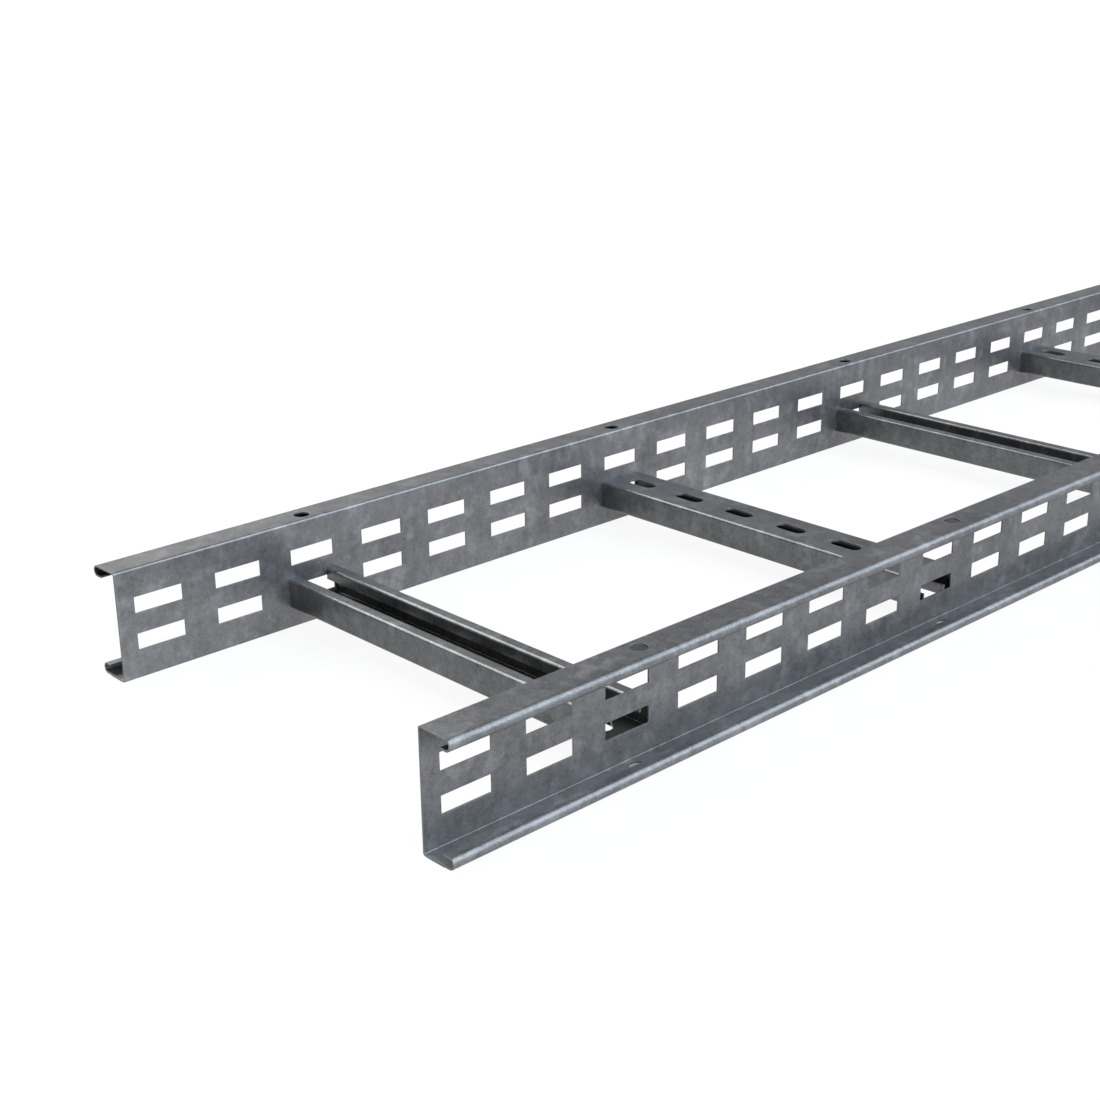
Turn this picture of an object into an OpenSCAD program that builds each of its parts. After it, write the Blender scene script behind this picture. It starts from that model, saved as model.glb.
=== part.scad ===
// Cable ladder section: two slotted side rails with a row of C-channel rungs
// welded between them, every second rung turned over.
// X runs along the rails, Y across the ladder and Z up. The origin is at the
// middle of the ladder, on the surface that the rails lie on.

/* [Ladder] */
// Length of the section from end to end
ladder_length = 3000; // [2800:10:6000]
// Clear width between the webs of the two rails
clear_width = 300; // [100:5:900]
// Distance from one rung to the next
rung_pitch = 300; // [120:5:320]

/* [Rail] */
// Height of a rail
rail_height = 75; // [65:1:150]
// Width of a rail, from the web's inner face to the outside of the lip
rail_width = 25; // [24:0.5:60]
// Thickness of the rail's sheet
rail_sheet = 1.25; // [0.9:0.05:2]
// Inside radius of the bend between web and flange
rail_bend = 0.5; // [0.3:0.1:2.5]
// Outside radius of the curled lip
lip_radius = 3.75; // [2.5:0.05:4.5]
// Flat stretch that the lip runs back over the flange
lip_return = 4.25; // [0.5:0.05:5]

/* [Web slots] */
// Length of a rectangular slot in the web
web_slot_length = 35; // [10:0.5:50]
// Height of a rectangular slot in the web
web_slot_height = 11; // [5:0.5:14]
// Distance from one web slot to the next along the rail
web_slot_pitch = 60; // [55:1:100]
// Distance between the two rows of web slots
web_row_spacing = 25; // [18:0.5:35]
// Least distance from a web slot's centre to the rail's end
web_slot_margin = 30; // [28:1:60]

/* [Flange holes] */
// Diameter of the round holes in the flanges, one beside each rung
flange_hole = 11; // [5:0.5:12]
// Distance from the web's inner face to a flange hole's centre
flange_hole_offset = 10; // [9:0.25:11]

/* [Rung] */
// Width of a rung along the ladder
rung_width = 41; // [38:0.5:60]
// Height of a rung
rung_height = 21; // [18:0.5:36]
// Height of a rung's underside above the rail's underside
rung_rise = 14.5; // [3:0.5:28]
// Thickness of the rung's sheet
rung_sheet = 1.5; // [1:0.1:2.5]
// Inside radius of a rung's bends
rung_bend = 0.3; // [0.2:0.1:1.5]
// Width of the mouth between the rung's lips
rung_mouth = 22; // [14:0.5:24]
// Depth to which a rung's lip turns in
rung_lip = 8.25; // [5:0.25:10]

/* [Rung slots] */
// Length of a round-ended slot in the rung's back
rung_slot_length = 25; // [14:0.5:40]
// Width of a round-ended slot in the rung's back
rung_slot_width = 11; // [5:0.5:13]
// Distance from one rung slot to the next
rung_slot_pitch = 50; // [45:1:100]
// Least distance from a rung slot's centre to the web
rung_slot_margin = 25; // [22:1:40]

/* [Hidden] */
NODES = ["rail_left", "rail_right",
    "rung_01", "rung_02", "rung_03", "rung_04", "rung_05",
    "rung_06", "rung_07", "rung_08", "rung_09", "rung_10"];
$fn = 64;

// Number of nodes in NODES that come before the rungs
rail_nodes = 2;
rung_count = len(NODES) - rail_nodes;
web_slot_count = fitting(ladder_length, web_slot_margin, web_slot_pitch);
rung_slot_count = fitting(clear_width, rung_slot_margin, rung_slot_pitch);
// Distance by which a cutter runs past the sheet on each side
overrun = 1;
galvanised = [0.46, 0.48, 0.50];

// How many items a row of the given length takes
function fitting(length, margin, pitch) = floor((length - 2 * margin) / pitch) + 1;

// Place of item i in a row of n items that is centred on zero
function centred(i, n, pitch) = (i - (n - 1) / 2) * pitch;

function rung_x(i) = centred(i, rung_count, rung_pitch);

// A straight strip of sheet in a section, between two corners
module strip(low, high) {
    translate(low)
        square(high - low);
}

// A quarter ring of sheet in the quadrant that the two signs give
module bend(centre, inner, sheet, side_x, side_y) {
    outer = inner + sheet;
    translate(centre)
        mirror([side_x < 0 ? 1 : 0, 0])
            mirror([0, side_y < 0 ? 1 : 0])
                intersection() {
                    difference() {
                        circle(r = outer);
                        circle(r = inner);
                    }
                    square(outer);
                }
}

// Lower half of a rail's section. The first axis points out of the ladder.
module rail_half_section() {
    corner = rail_bend + rail_sheet;
    curl_x = rail_width - lip_radius;
    curl_inner = lip_radius - rail_sheet;
    strip([0, corner], [rail_sheet, rail_height / 2]);
    bend([corner, corner], rail_bend, rail_sheet, -1, -1);
    strip([corner, 0], [curl_x, rail_sheet]);
    bend([curl_x, lip_radius], curl_inner, rail_sheet, 1, -1);
    bend([curl_x, lip_radius], curl_inner, rail_sheet, 1, 1);
    strip([curl_x - lip_return, 2 * lip_radius - rail_sheet], [curl_x, 2 * lip_radius]);
}

module rail_section() {
    rail_half_section();
    translate([0, rail_height])
        mirror([0, 1])
            rail_half_section();
}

// Cutters for the two rows of rectangular slots in the web
module web_slots() {
    size = [web_slot_length, rail_sheet + 2 * overrun, web_slot_height];
    for (i = [0 : web_slot_count - 1], side = [-1, 1])
        translate([
            centred(i, web_slot_count, web_slot_pitch),
            (clear_width + rail_sheet) / 2,
            (rail_height + side * web_row_spacing) / 2
        ])
            cube(size, center = true);
}

// Cutters for the round holes through both flanges
module flange_holes() {
    for (i = [0 : rung_count - 1])
        translate([rung_x(i), clear_width / 2 + flange_hole_offset, -overrun])
            cylinder(d = flange_hole, h = rail_height + 2 * overrun);
}

module rail_left() {
    color(galvanised)
        difference() {
            translate([-ladder_length / 2, clear_width / 2, 0])
                rotate([90, 0, 90])
                    linear_extrude(ladder_length)
                        rail_section();
            web_slots();
            flange_holes();
        }
}

module rail_right() {
    mirror([0, 1, 0])
        rail_left();
}

// One side of a rung's section, from the middle of its back to its lip
module rung_half_section() {
    corner = rung_bend + rung_sheet;
    side_x = rung_width / 2;
    lip_x = rung_mouth / 2;
    strip([0, 0], [side_x - corner, rung_sheet]);
    bend([side_x - corner, corner], rung_bend, rung_sheet, 1, -1);
    strip([side_x - rung_sheet, corner], [side_x, rung_height - corner]);
    bend([side_x - corner, rung_height - corner], rung_bend, rung_sheet, 1, 1);
    strip([lip_x + corner, rung_height - rung_sheet], [side_x - corner, rung_height]);
    bend([lip_x + corner, rung_height - corner], rung_bend, rung_sheet, -1, 1);
    strip([lip_x, rung_height - rung_lip], [lip_x + rung_sheet, rung_height - corner]);
}

module rung_section() {
    rung_half_section();
    mirror([1, 0])
        rung_half_section();
}

// Outline of a slot with round ends that lies along the second axis
module slot_outline(length, width) {
    straight = length - width;
    square([width, straight], center = true);
    for (side = [-1, 1])
        translate([0, side * straight / 2])
            circle(d = width);
}

// Cutters for the row of round-ended slots in a rung's back
module rung_slots() {
    for (i = [0 : rung_slot_count - 1])
        translate([0, centred(i, rung_slot_count, rung_slot_pitch), -overrun])
            linear_extrude(rung_sheet + 2 * overrun)
                slot_outline(rung_slot_length, rung_slot_width);
}

// A rung with its back down, standing on zero height
module upright_rung() {
    difference() {
        translate([0, clear_width / 2, 0])
            rotate([90, 0, 0])
                linear_extrude(clear_width)
                    rung_section();
        rung_slots();
    }
}

// Rung i in its place. Every second rung is turned over, with its back up.
module rung(i) {
    turned = i % 2 == 1;
    color(galvanised)
        translate([rung_x(i), 0, rung_rise + (turned ? rung_height : 0)])
            rotate([0, turned ? 180 : 0, 0])
                upright_rung();
}

rail_left();
rail_right();
for (i = [0 : rung_count - 1])
    rung(i);
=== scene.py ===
"""Galvanised cable ladder section in a white studio.

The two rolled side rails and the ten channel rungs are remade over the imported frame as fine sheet
metal, with their slots and holes punched, their cut edges softened and a hot-dip galvanised skin.
All lengths are in metres and all angles are in degrees.
"""
from math import radians

import bmesh
import bpy
import numpy as np
from mathutils import Euler, Matrix, Vector


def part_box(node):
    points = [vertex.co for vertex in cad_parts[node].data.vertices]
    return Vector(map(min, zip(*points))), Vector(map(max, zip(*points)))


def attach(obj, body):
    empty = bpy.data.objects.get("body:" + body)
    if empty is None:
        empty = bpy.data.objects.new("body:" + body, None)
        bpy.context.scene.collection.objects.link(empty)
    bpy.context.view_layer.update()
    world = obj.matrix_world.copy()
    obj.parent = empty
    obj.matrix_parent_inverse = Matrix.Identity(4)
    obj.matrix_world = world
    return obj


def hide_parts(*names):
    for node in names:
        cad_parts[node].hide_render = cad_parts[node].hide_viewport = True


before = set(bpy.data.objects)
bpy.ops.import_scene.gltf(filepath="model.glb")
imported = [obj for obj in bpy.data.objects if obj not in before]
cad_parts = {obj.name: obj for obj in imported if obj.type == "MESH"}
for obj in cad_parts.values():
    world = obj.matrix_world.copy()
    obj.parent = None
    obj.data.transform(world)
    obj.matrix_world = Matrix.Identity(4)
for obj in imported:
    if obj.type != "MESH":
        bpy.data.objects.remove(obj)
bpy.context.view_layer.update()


# Side rails
# Each rail is one long strip of steel, rolled to a C with curled lips and punched with two rows of
# rectangular slots in its web and a round hole in each flange beside every rung. Rolling leaves the
# two flanges leaning a little towards each other, and the whole rail is dipped in zinc.
rail_sheet = 0.00125
rail_bend_radius = 0.00175
rail_edge_radius = 0.00018
lip_radius = 0.00375
lip_return = 0.00425
web_slot_length = 0.035
web_slot_height = 0.011
web_slot_pitch = 0.060
web_row_spacing = 0.025
flange_hole_radius = 0.0055
flange_hole_offset = 0.010
flange_window_half = 0.0070
flange_toe_in = 0.0003
hole_rings = 3
weld_distance = 1e-6
station_decimals = 7

left_low, left_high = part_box("rail_left")
rung_low, rung_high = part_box("rung_01")
rail_length = left_high.x - left_low.x
rail_height = left_high.z - left_low.z
web_y = (rung_high.y - rung_low.y) / 2
rail_width = left_high.y - web_y
rung_nodes = sorted(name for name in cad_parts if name.startswith("rung"))
rung_x = np.array([(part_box(name)[0].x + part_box(name)[1].x) / 2 for name in rung_nodes])


def arc(centre, radius, start, stop, steps):
    """Points of a circle: the centre plus the radius times the cosine and the sine of an angle that
    runs evenly from start to stop."""
    angle = np.radians(np.linspace(start, stop, steps + 1))
    return np.array(centre) + radius * np.column_stack([np.cos(angle), np.sin(angle)])


def run(fixed_axis, level, marks):
    """Points of a straight stretch: one coordinate keeps its level, the other takes the marks."""
    points = np.full((len(marks), 2), level, dtype=float)
    points[:, 1 - fixed_axis] = marks
    return points


def between(low, high, steps):
    """Evenly spaced marks from low to high, without the two ends."""
    return np.linspace(low, high, steps + 1)[1:-1]


def middles(marks):
    """The point halfway from each mark to the next."""
    return (marks[:-1] + marks[1:]) / 2


def centred_row(length, pitch):
    """Places of as many copies as fill the length, a pitch apart and centred on zero."""
    count = int(round(length / pitch))
    return (np.arange(count) - (count - 1) / 2) * pitch


def window_marks(centres, half, steps):
    """Marks that cross every window: each centre plus an even spread from minus to plus half. One
    step gives only the window's two edges."""
    spread = np.linspace(-half, half, steps + 1)
    return (np.asarray(centres)[:, None] + spread[None, :]).ravel()


def within(cells, centres, half):
    """Which cells lie within half of any of the centres."""
    return (np.abs(cells[:, None] - np.asarray(centres)[None, :]) < half).any(axis=1)


def grid_faces(rows, columns, closed=False):
    """Quads of a grid of points that is stored row after row: each takes a point, the next in its
    row, and the two that face them in the next row. A closed grid joins its last column to its first."""
    index = np.arange(rows * columns).reshape(rows, columns)
    if closed:
        index = np.concatenate([index, index[:, :1]], axis=1)
    return np.stack([index[:-1, :-1], index[:-1, 1:], index[1:, 1:], index[1:, :-1]], axis=-1)


def punched_window(half_across, half_along, steps_across, steps_along, radius, straight):
    """A rectangular window with a round or round-ended hole in it, as (hole_rings + 1, n, 2) points.
    Each point of the rectangle's rim moves straight to the nearest point of the hole's centre line,
    which is straight long, and stops at the radius. Rings between share that way evenly."""
    across = np.linspace(-half_across, half_across, steps_across + 1)
    along = np.linspace(-half_along, half_along, steps_along + 1)
    rim = np.concatenate([
        run(1, -half_along, across[:-1]),
        run(0, half_across, along[:-1]),
        run(1, half_along, across[:0:-1]),
        run(0, -half_across, along[:0:-1]),
    ])
    spine = np.column_stack([np.zeros(len(rim)), np.clip(rim[:, 1], -straight / 2, straight / 2)])
    away = rim - spine
    edge = spine + radius * away / np.linalg.norm(away, axis=1, keepdims=True)
    share = np.linspace(0, 1, hole_rings + 1)[:, None, None]
    return rim + share * (edge - rim)


def sheet_piece(name, points, quads, sheet, edge_radius, materials):
    """A finished piece of sheet metal from the outer skin's points and quads. Points that meet are
    welded, the skin is given its thickness inwards, and its cut edges are rounded off. Materials come
    in threes: one for the skin, then the ones for its inside and for its cut edges."""
    mesh = bpy.data.meshes.new(name)
    mesh.from_pydata(points.tolist(), [], quads.tolist())
    shell = bmesh.new()
    shell.from_mesh(mesh)
    bmesh.ops.remove_doubles(shell, verts=shell.verts, dist=weld_distance)
    loose = [vert for vert in shell.verts if not vert.link_faces]
    bmesh.ops.delete(shell, geom=loose, context="VERTS")
    shell.to_mesh(mesh)
    shell.free()
    mesh.shade_smooth()
    for material in materials:
        mesh.materials.append(material)
    piece = bpy.data.objects.new(name, mesh)
    bpy.context.scene.collection.objects.link(piece)
    thickness = piece.modifiers.new("Sheet thickness", "SOLIDIFY")
    thickness.thickness = sheet
    thickness.offset = -1
    thickness.use_even_offset = True
    thickness.use_quality_normals = True
    thickness.material_offset = 1
    thickness.material_offset_rim = 2
    rounding = piece.modifiers.new("Cut edges", "BEVEL")
    rounding.width = edge_radius
    rounding.segments = 2
    rounding.limit_method = "ANGLE"
    rounding.angle_limit = radians(60)
    flats = piece.modifiers.new("Flat faces stay flat", "WEIGHTED_NORMAL")
    flats.weight = 100
    flats.keep_sharp = False
    return piece


def maths(tree, operation, *values, clamp=False):
    """Result of a Math node, whose values are numbers or the outputs of other nodes."""
    node = tree.nodes.new("ShaderNodeMath")
    node.operation = operation
    node.use_clamp = clamp
    for socket, value in zip(node.inputs, values):
        if isinstance(value, bpy.types.NodeSocket):
            tree.links.new(value, socket)
        else:
            socket.default_value = value
    return node.outputs["Value"]


def colour_ramp(tree, value, stops, interpolation="LINEAR"):
    """Colour that follows a value through stops, which are pairs of a value and a colour."""
    ramp = tree.nodes.new("ShaderNodeValToRGB")
    ramp.color_ramp.interpolation = interpolation
    elements = ramp.color_ramp.elements
    ready = len(elements)
    for element, (position, colour) in zip(elements, stops):
        element.position = position
        element.color = (*colour, 1)
    for position, colour in stops[ready:]:
        elements.new(position).color = (*colour, 1)
    tree.links.new(value, ramp.inputs["Fac"])
    return ramp.outputs["Color"]


def galvanised(name, dark, light, place, roughness, painted_shade_heights=()):
    """Zinc skin: a colour between dark and light by the sum of broad clouds, a finer mottle, streaks
    that run down, a fine grain, crystal cells that each have their own shade, and a few light patches
    where a noise is at its highest. The same sum sets the roughness, and the mottle and the grain set
    the bump. Place slides the pattern. Painted shade heights are pairs of a height and a share, and the
    colour is multiplied by the share, which runs evenly from each height to the next, as painted light
    and shade by height."""
    material = bpy.data.materials.new(name)
    material.use_nodes = True
    tree = material.node_tree
    nodes = tree.nodes
    links = tree.links
    shader = nodes["Principled BSDF"]
    shader.inputs["Metallic"].default_value = 0.85
    shader.inputs["Specular IOR Level"].default_value = 0.0
    shader.inputs["Specular Tint"].default_value = (0.9, 0.9, 0.9, 1)
    coords = nodes.new("ShaderNodeTexCoord")
    mapping = nodes.new("ShaderNodeMapping")
    mapping.inputs["Location"].default_value = place
    links.new(coords.outputs["Object"], mapping.inputs["Vector"])
    spot = mapping.outputs["Vector"]
    drawn_down = nodes.new("ShaderNodeMapping")
    drawn_down.inputs["Scale"].default_value = (1, 1, 0.22)
    links.new(spot, drawn_down.inputs["Vector"])

    def noise(vector, scale, detail, harshness=0.5):
        texture = nodes.new("ShaderNodeTexNoise")
        texture.inputs["Scale"].default_value = scale
        texture.inputs["Detail"].default_value = detail
        texture.inputs["Roughness"].default_value = harshness
        links.new(vector, texture.inputs["Vector"])
        return texture.outputs["Fac"]

    def blend(first, second, share):
        mix = nodes.new("ShaderNodeMix")
        mix.inputs["Factor"].default_value = share
        links.new(first, mix.inputs["A"])
        links.new(second, mix.inputs["B"])
        return mix.outputs["Result"]

    def rescaled(value, old_range, new_range, interpolation="LINEAR"):
        scale = nodes.new("ShaderNodeMapRange")
        scale.interpolation_type = interpolation
        scale.inputs["From Min"].default_value = old_range[0]
        scale.inputs["From Max"].default_value = old_range[1]
        scale.inputs["To Min"].default_value = new_range[0]
        scale.inputs["To Max"].default_value = new_range[1]
        links.new(value, scale.inputs["Value"])
        return scale.outputs["Result"]

    clouds = noise(spot, scale=22, detail=5, harshness=0.6)
    mottle = noise(spot, scale=130, detail=5, harshness=0.75)
    grain = noise(spot, scale=1500, detail=2)
    blooms = noise(spot, scale=65, detail=3)
    streaks = noise(drawn_down.outputs["Vector"], scale=170, detail=3)
    crystals = nodes.new("ShaderNodeTexVoronoi")
    crystals.inputs["Scale"].default_value = 420
    links.new(spot, crystals.inputs["Vector"])
    cell_shade = nodes.new("ShaderNodeSeparateColor")
    links.new(crystals.outputs["Color"], cell_shade.inputs["Color"])

    cloudy = blend(clouds, mottle, share=0.46)
    streaky = blend(cloudy, streaks, share=0.22)
    grainy = blend(streaky, grain, share=0.42)
    celled = blend(grainy, cell_shade.outputs["Red"], share=0.05)
    patches = rescaled(blooms, (0.52, 0.72), (0, 0.08), "SMOOTHSTEP")
    skin = maths(tree, "ADD", celled, patches)

    colour = colour_ramp(tree, skin, [(0.375, dark), (0.67, light)])
    # Painted light and shade by height: the colour is multiplied by a share that follows the height.
    if painted_shade_heights:
        top = painted_shade_heights[-1][0]
        parts = nodes.new("ShaderNodeSeparateXYZ")
        links.new(coords.outputs["Object"], parts.inputs["Vector"])
        height = rescaled(parts.outputs["Z"], (0, top), (0, 1))
        shade = colour_ramp(tree, height, [(level / top, (share,) * 3) for level, share in painted_shade_heights])
        scaled = nodes.new("ShaderNodeMix")
        scaled.data_type = "RGBA"
        scaled.blend_type = "MULTIPLY"
        scaled.inputs["Factor"].default_value = 1.0
        sockets = {socket.identifier: socket for socket in (*scaled.inputs, *scaled.outputs)}
        links.new(colour, sockets["A_Color"])
        links.new(shade, sockets["B_Color"])
        colour = sockets["Result_Color"]
    links.new(colour, shader.inputs["Base Color"])
    links.new(rescaled(skin, (0.35, 0.65), roughness), shader.inputs["Roughness"])

    bump = nodes.new("ShaderNodeBump")
    bump.inputs["Strength"].default_value = 0.21
    bump.inputs["Distance"].default_value = 0.0004
    links.new(blend(mottle, grain, share=0.85), bump.inputs["Height"])
    links.new(bump.outputs["Normal"], shader.inputs["Normal"])
    return material


def rail_skin():
    """Outer skin of the left rail: its section's outline, from lip tip to lip tip, carried along
    the rail's length, with the slots' cells left out and each hole's window filled by its rings. As
    on rolled strip, the flanges then lean towards each other: each point moves by the toe-in, times
    its share of the way from the web's bend to the outside of the lip."""
    curl_x = rail_width - lip_radius
    corner = rail_bend_radius
    window_low = flange_hole_offset - flange_window_half
    window_high = flange_hole_offset + flange_window_half
    window_steps = 10
    lip_steps = 20
    bend_steps = 8
    web_steps = 3
    slot_rows = window_marks([rail_height / 2], web_row_spacing / 2, 1)
    slot_edges = window_marks(slot_rows, web_slot_height / 2, 1)

    lower = np.concatenate([
        run(1, 2 * lip_radius, [curl_x - lip_return, curl_x - lip_return / 2]),
        arc((curl_x, lip_radius), lip_radius, 90, -90, lip_steps),
        run(1, 0, np.linspace(window_high, window_low, window_steps + 1)),
        arc((corner, corner), corner, -90, -180, bend_steps),
    ])
    upper = lower[::-1] * (1, -1) + (0, rail_height)
    web = run(0, 0, np.sort(np.concatenate([
        slot_edges,
        between(corner, slot_edges[0], web_steps),
        between(slot_edges[1], slot_edges[2], web_steps),
        between(slot_edges[3], rail_height - corner, web_steps),
    ])))
    outline = np.concatenate([lower, web, upper])

    slot_x = centred_row(rail_length, web_slot_pitch)
    stations = np.unique(np.concatenate([
        (-rail_length / 2, rail_length / 2),
        window_marks(slot_x, web_slot_length / 2, 1),
        window_marks(rung_x, flange_window_half, window_steps),
    ]).round(station_decimals))

    out, up = outline.T
    grid = np.empty((len(outline), len(stations), 3))
    grid[..., 0] = stations
    grid[..., 1] = web_y + out[:, None]
    grid[..., 2] = up[:, None]
    quads = grid_faces(len(outline), len(stations))

    mid_x = middles(stations)
    mid_out = middles(out)
    mid_up = middles(up)
    on_web = mid_out < weld_distance
    on_flange = (mid_up < weld_distance) | (mid_up > rail_height - weld_distance)
    in_slot = on_web & within(mid_up, slot_rows, web_slot_height / 2)
    in_window = on_flange & within(mid_out, [flange_hole_offset], flange_window_half)
    gone = in_slot[:, None] & within(mid_x, slot_x, web_slot_length / 2)
    gone |= in_window[:, None] & within(mid_x, rung_x, flange_window_half)
    points = [grid.reshape(-1, 3)]
    faces = [quads[~gone]]

    ring = punched_window(flange_window_half, flange_window_half, window_steps, window_steps,
                          flange_hole_radius, 0)
    ring_faces = grid_faces(ring.shape[0], ring.shape[1], closed=True).reshape(-1, 4)
    for height, order in ((0, -1), (rail_height, 1)):
        for x in rung_x:
            patch = np.empty((*ring.shape[:2], 3))
            patch[..., 0] = x + ring[..., 0]
            patch[..., 1] = web_y + flange_hole_offset + ring[..., 1]
            patch[..., 2] = height
            faces.append(ring_faces[:, ::order] + sum(len(part) for part in points))
            points.append(patch.reshape(-1, 3))

    points = np.concatenate(points)
    share = np.clip((points[:, 1] - web_y - corner) / (rail_width - corner), 0, 1)
    points[:, 2] += flange_toe_in * share * np.sign(rail_height / 2 - points[:, 2])
    return points, np.concatenate(faces)


cut_edge = galvanised("cut_edge_zinc", dark=(0.14, 0.14, 0.144), light=(0.22, 0.22, 0.225),
                      place=(0.3, 0.2, 0.9), roughness=(0.35, 0.5))
rail_zinc = galvanised("rail_zinc", dark=(0.103, 0.1025, 0.105), light=(0.294, 0.291, 0.296),
                       place=(0, 0, 0), roughness=(0.33, 0.47))
# Painted light and shade: the inside of each rail's channel is painted lighter low on the web and darker
# under the top flange, where shade falls.
# Inside its channel a rail is lightest low on the web and darkest under the top flange. These shares
# were set so that its tones by height come close to the photograph's.
rail_painted_shade_heights = [
    (0, 0.86), (0.002, 0.88), (0.004, 1.0), (0.013, 1.0), (0.018, 0.86), (0.024, 0.77),
    (0.044, 0.77), (0.052, 0.82), (0.060, 0.82), (0.068, 0.49), (0.075, 0.49),
]
# Painted light and shade: a lighter copy of the rail's zinc, multiplied by the shares above by height.
rail_channel_painted_light_and_shade = galvanised("rail_channel_painted_light_and_shade", dark=(0.126, 0.1255, 0.1285), light=(0.360, 0.356, 0.362),
                              place=(0, 0, 0), roughness=(0.33, 0.47), painted_shade_heights=rail_painted_shade_heights)
rail_points, rail_quads = rail_skin()
for node, side in (("rail_left", 1), ("rail_right", -1)):
    rail = sheet_piece("formed_" + node, rail_points * (1, side, 1), rail_quads[:, ::side],
                       rail_sheet, rail_edge_radius, [rail_zinc, rail_channel_painted_light_and_shade, cut_edge])
    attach(rail, "root")
    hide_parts(node)


# Rungs
# Each rung is a short length of lipped steel channel with round-ended slots along its back. Its cut
# ends are welded to the two webs, and every second rung is turned over so that its back is on top.
# Painted shade darkens the zinc inside the channel, and painted light makes the faces that lie on top the
# lightest.
rung_sheet = 0.0015
rung_bend_radius = 0.0022
rung_edge_radius = 0.0002
rung_mouth = 0.022
rung_lip = 0.00825
rung_slot_length = 0.025
rung_slot_width = 0.011
rung_slot_pitch = 0.050
rung_window_half_length = 0.0145
rung_window_half_width = 0.0080

rung_width = rung_high.x - rung_low.x
rung_height = rung_high.z - rung_low.z
rung_length = rung_high.y - rung_low.y


def rung_skin():
    """Outer skin of a rung that stands on its back at the origin: its section's outline, from lip
    to lip, carried across the ladder, with each slot's window filled by its rings. Each face also
    gets its height above the back, halfway between its two rows of points."""
    side_x = rung_width / 2
    corner = rung_bend_radius
    bend_steps = 6
    steps_across = 8
    steps_along = 14
    half_along = rung_window_half_length
    half_across = rung_window_half_width

    half = np.concatenate([
        run(1, 0, [side_x - corner]),
        arc((side_x - corner, corner), corner, -90, 0, bend_steps),
        arc((side_x - corner, rung_height - corner), corner, 0, 90, bend_steps),
        arc((rung_mouth / 2 + corner, rung_height - corner), corner, 90, 180, bend_steps),
        run(0, rung_mouth / 2, [rung_height - rung_lip]),
    ])[1:]
    back = run(1, 0, np.linspace(-half_across, half_across, steps_across + 1))
    outline = np.concatenate([half[::-1] * (-1, 1), back, half])

    slot_y = centred_row(rung_length, rung_slot_pitch)
    stations = np.unique(np.concatenate([
        (-rung_length / 2, rung_length / 2),
        window_marks(slot_y, half_along, steps_along),
    ]).round(station_decimals))

    across, up = outline.T
    grid = np.empty((len(outline), len(stations), 3))
    grid[..., 0] = across[:, None]
    grid[..., 1] = stations
    grid[..., 2] = up[:, None]
    quads = grid_faces(len(outline), len(stations))

    mid_up = middles(up)
    in_window = (mid_up < weld_distance) & (np.abs(middles(across)) < half_across)
    gone = in_window[:, None] & within(middles(stations), slot_y, half_along)
    points = [grid.reshape(-1, 3)]
    faces = [quads[~gone]]
    heights = [np.broadcast_to(mid_up[:, None], gone.shape)[~gone]]

    ring = punched_window(half_across, half_along, steps_across, steps_along,
                          rung_slot_width / 2, rung_slot_length - rung_slot_width)
    ring_faces = grid_faces(ring.shape[0], ring.shape[1], closed=True).reshape(-1, 4)
    for y in slot_y:
        patch = np.zeros((*ring.shape[:2], 3))
        patch[..., :2] = ring + (0, y)
        faces.append(ring_faces[:, ::-1] + sum(len(part) for part in points))
        points.append(patch.reshape(-1, 3))
        heights.append(np.zeros(len(ring_faces)))
    return np.concatenate(points), np.concatenate(faces), np.concatenate(heights)


side_zinc = galvanised("rung_zinc", dark=(0.083, 0.084, 0.0855), light=(0.231, 0.2325, 0.236),
                       place=(0.4, 0.6, 0), roughness=(0.30, 0.42))
# Painted light: the faces that lie on top get a lighter copy of the rung's zinc.
tops_painted_light = galvanised("rung_tops_painted_light", dark=(0.104, 0.1045, 0.106), light=(0.289, 0.290, 0.293),
                      place=(0.4, 0.6, 0), roughness=(0.32, 0.45))
# Painted shade: the inside of the channel gets a darker copy of the rung's zinc.
channel_painted_shade = galvanised("rung_channel_painted_shade", dark=(0.045, 0.045, 0.045), light=(0.110, 0.111, 0.111),
                         place=(0.7, 0.1, 0.4), roughness=(0.36, 0.50))
side_finish = [side_zinc, channel_painted_shade, cut_edge]
painted_light_top_finish = [tops_painted_light, channel_painted_shade, cut_edge]
rung_points, rung_quads, rung_heights = rung_skin()
for number, node in enumerate(rung_nodes):
    node_low, node_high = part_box(node)
    turned = number % 2 == 1
    turn = (-1, 1, -1) if turned else (1, 1, 1)
    base = node_high.z if turned else node_low.z
    rung = sheet_piece("formed_" + node, rung_points * turn + (rung_x[number], 0, base), rung_quads,
                       rung_sheet, rung_edge_radius, side_finish + painted_light_top_finish)
    # Painted light: faces that lie on top take the lighter copy of the zinc.
    painted_light_faces = np.isclose(rung_heights, 0 if turned else rung_height)
    rung.data.polygons.foreach_set("material_index", np.where(painted_light_faces, len(side_finish), 0))
    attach(rung, "root")
    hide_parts(node)


# Studio
# The ladder lies on a plain white floor. Two large, cool and soft lamps stand on the camera's side and
# draw the light line along every bend and lip, and two warmer ones behind do the same for the tops.
floor_half_width = 30
floor_level = -0.0001
floor_paint = (0.09, 0.09, 0.09)
floor_glow = 0.91
hole_shadow = 0.76
hole_shadow_margin = 0.0015
weak_light = (0.97, 0.985, 1.0)
weak_light_strength = 0.10
horizon_white = (1, 1, 1)
sky_grey = (0.405, 0.420, 0.437)
overhead_grey = (0.250, 0.258, 0.270)
cool_light = (0.775, 0.89, 1.0)
warm_light = (1.0, 0.99, 0.97)
warmer_light = (1.0, 0.98, 0.95)


def seen_rays(tree):
    """One for a ray from the camera, a mirror-like reflection or a clear pane, and nothing for others."""
    path = tree.nodes.new("ShaderNodeLightPath")
    total = path.outputs["Is Camera Ray"]
    for name in ("Is Glossy Ray", "Is Transmission Ray"):
        total = maths(tree, "ADD", total, path.outputs[name], clamp=True)
    return total


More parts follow.
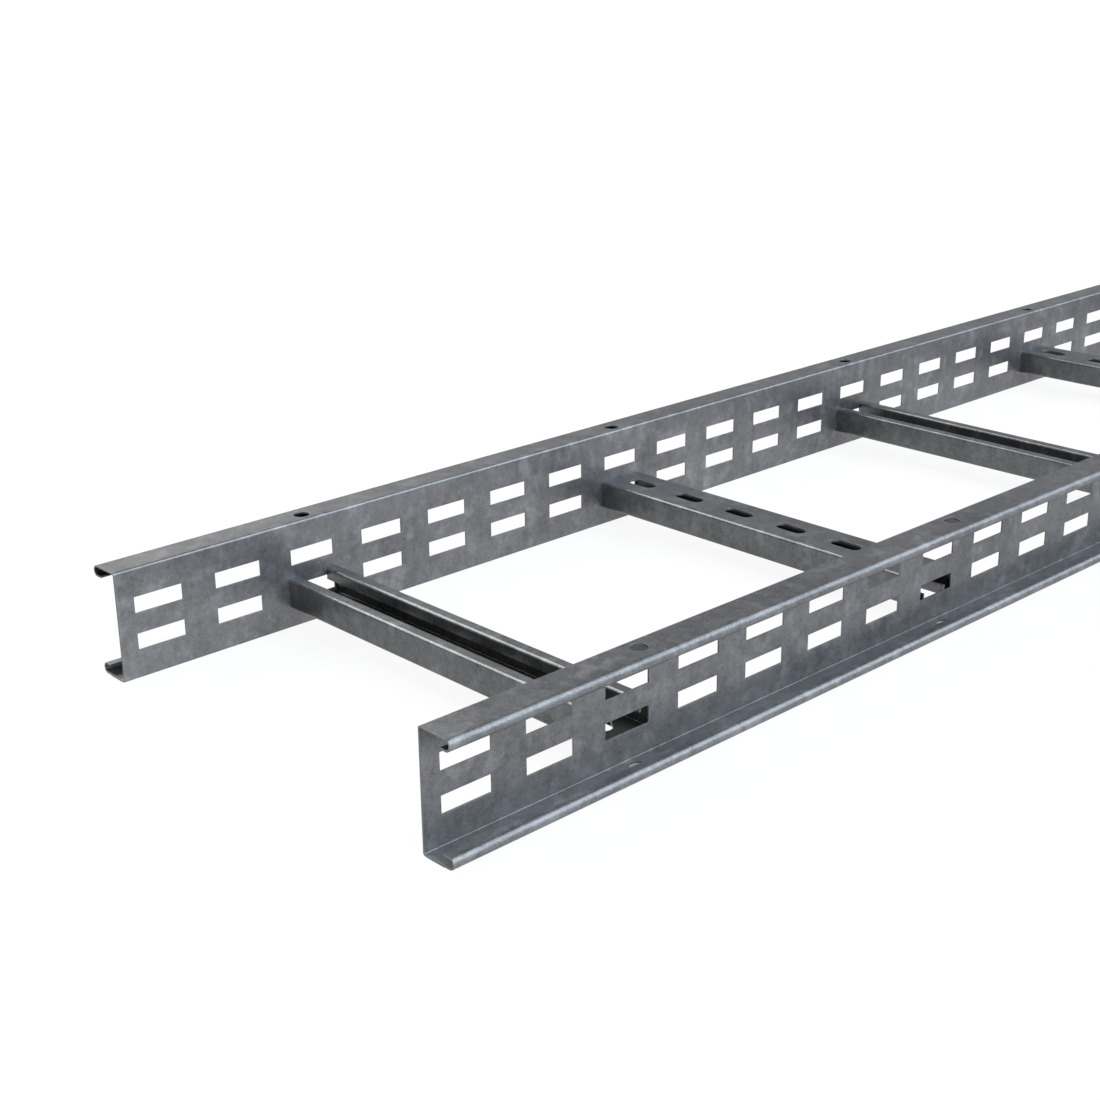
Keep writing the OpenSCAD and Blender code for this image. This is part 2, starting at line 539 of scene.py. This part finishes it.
def surround():
    """World light. Where it is seen it is white at the horizon, a soft grey higher up and a darker grey
    overhead, by the height of the direction, and where it only lights it is a weak even white."""
    world = bpy.data.worlds.new("white_surround")
    world.use_nodes = True
    tree = world.node_tree
    nodes = tree.nodes
    links = tree.links
    light = nodes["Background"]
    light.inputs["Color"].default_value = (*weak_light, 1)
    light.inputs["Strength"].default_value = weak_light_strength
    direction = nodes.new("ShaderNodeTexCoord")
    parts = nodes.new("ShaderNodeSeparateXYZ")
    links.new(direction.outputs["Generated"], parts.inputs["Vector"])
    sky = colour_ramp(tree, parts.outputs["Z"], [
        (0.05, horizon_white),
        (0.10, sky_grey),
        (0.48, sky_grey),
        (0.70, overhead_grey),
    ], "EASE")
    seen = nodes.new("ShaderNodeBackground")
    links.new(sky, seen.inputs["Color"])
    choice = nodes.new("ShaderNodeMixShader")
    choice_share, choice_lit, choice_seen = choice.inputs
    links.new(seen_rays(tree), choice_share)
    links.new(light.outputs["Background"], choice_lit)
    links.new(seen.outputs["Background"], choice_seen)
    links.new(choice.outputs["Shader"], nodes["World Output"].inputs["Surface"])
    bpy.context.scene.world = world


def floor(half_width, level):
    """A square floor. Its paint is grey, and where it is seen a glow tops it up to white. In the strip
    under the flange holes the glow is about a quarter of that, so the holes show a floor in shadow."""
    corners = [(-half_width, -half_width, level), (half_width, -half_width, level),
               (half_width, half_width, level), (-half_width, half_width, level)]
    mesh = bpy.data.meshes.new("studio_floor")
    mesh.from_pydata(corners, [], [(0, 1, 2, 3)])
    material = bpy.data.materials.new("floor_white")
    material.use_nodes = True
    tree = material.node_tree
    nodes = tree.nodes
    links = tree.links
    paint = nodes["Principled BSDF"]
    paint.inputs["Base Color"].default_value = (*floor_paint, 1)
    paint.inputs["Roughness"].default_value = 1.0
    paint.inputs["Specular IOR Level"].default_value = 0.0

    place = nodes.new("ShaderNodeSeparateXYZ")
    links.new(nodes.new("ShaderNodeTexCoord").outputs["Object"], place.inputs["Vector"])
    beside = maths(tree, "ABSOLUTE", place.outputs["Y"])
    along = maths(tree, "ABSOLUTE", place.outputs["X"])
    under_holes = maths(tree, "COMPARE", beside, web_y + flange_hole_offset,
                        flange_hole_radius + hole_shadow_margin)
    under_rail = maths(tree, "LESS_THAN", along, rail_length / 2)
    covered = maths(tree, "MULTIPLY", under_holes, under_rail)
    share = maths(tree, "MULTIPLY_ADD", covered, -hole_shadow, 1)
    full_glow = maths(tree, "MULTIPLY", seen_rays(tree), floor_glow)
    glow = nodes.new("ShaderNodeEmission")
    links.new(maths(tree, "MULTIPLY", full_glow, share), glow.inputs["Strength"])

    total = nodes.new("ShaderNodeAddShader")
    total_paint, total_glow = total.inputs
    links.new(paint.outputs["BSDF"], total_paint)
    links.new(glow.outputs["Emission"], total_glow)
    links.new(total.outputs["Shader"], nodes["Material Output"].inputs["Surface"])
    mesh.materials.append(material)
    ground = bpy.data.objects.new("studio_floor", mesh)
    bpy.context.scene.collection.objects.link(ground)


def soft_lamp(name, towards, width, energy, colour):
    """A round lamp, so large and far away that its light is the same all along the ladder. It stands
    in the direction given, and width is the angle that it takes up there."""
    data = bpy.data.lights.new(name, "SUN")
    data.angle = radians(width)
    data.energy = energy
    data.color = colour
    lamp = bpy.data.objects.new(name, data)
    lamp.rotation_euler = Vector(towards).to_track_quat("Z", "Y").to_euler()
    bpy.context.scene.collection.objects.link(lamp)


surround()
floor(floor_half_width, floor_level)
soft_lamp("key_lamp", towards=(0.621, -0.485, 0.616), width=52, energy=2.25, colour=cool_light)
soft_lamp("side_lamp", towards=(-0.132, -0.936, 0.326), width=66, energy=4.3, colour=cool_light)
soft_lamp("rim_lamp", towards=(-0.123, 0.778, 0.616), width=50, energy=3.1, colour=warm_light)
soft_lamp("back_lamp", towards=(0.317, 0.871, 0.375), width=34, energy=0.20, colour=warmer_light)


# Camera
# It stands near the rails' open end, a little left of the ladder, and looks along it and down.
# Place and turn were worked out from the web slots' corners in the photograph.
camera_place = (-1.98364, -0.76852, 0.45620)
camera_heading = -42.9814
camera_tilt = 69.7679
camera_roll = -0.7394
focal_length = 56.278
film_width = 36.0

camera_data = bpy.data.cameras.new("camera")
camera_data.lens = focal_length
camera_data.sensor_width = film_width
camera_data.clip_start = 0.01
camera = bpy.data.objects.new("camera", camera_data)
camera_turn = Euler((radians(camera_tilt), 0, radians(camera_heading))).to_matrix().to_4x4()
camera_spin = Matrix.Rotation(radians(camera_roll), 4, "Z")
camera.matrix_world = Matrix.Translation(camera_place) @ camera_turn @ camera_spin
bpy.context.scene.collection.objects.link(camera)
bpy.context.scene.camera = camera
bpy.context.scene.view_settings.view_transform = "Standard"
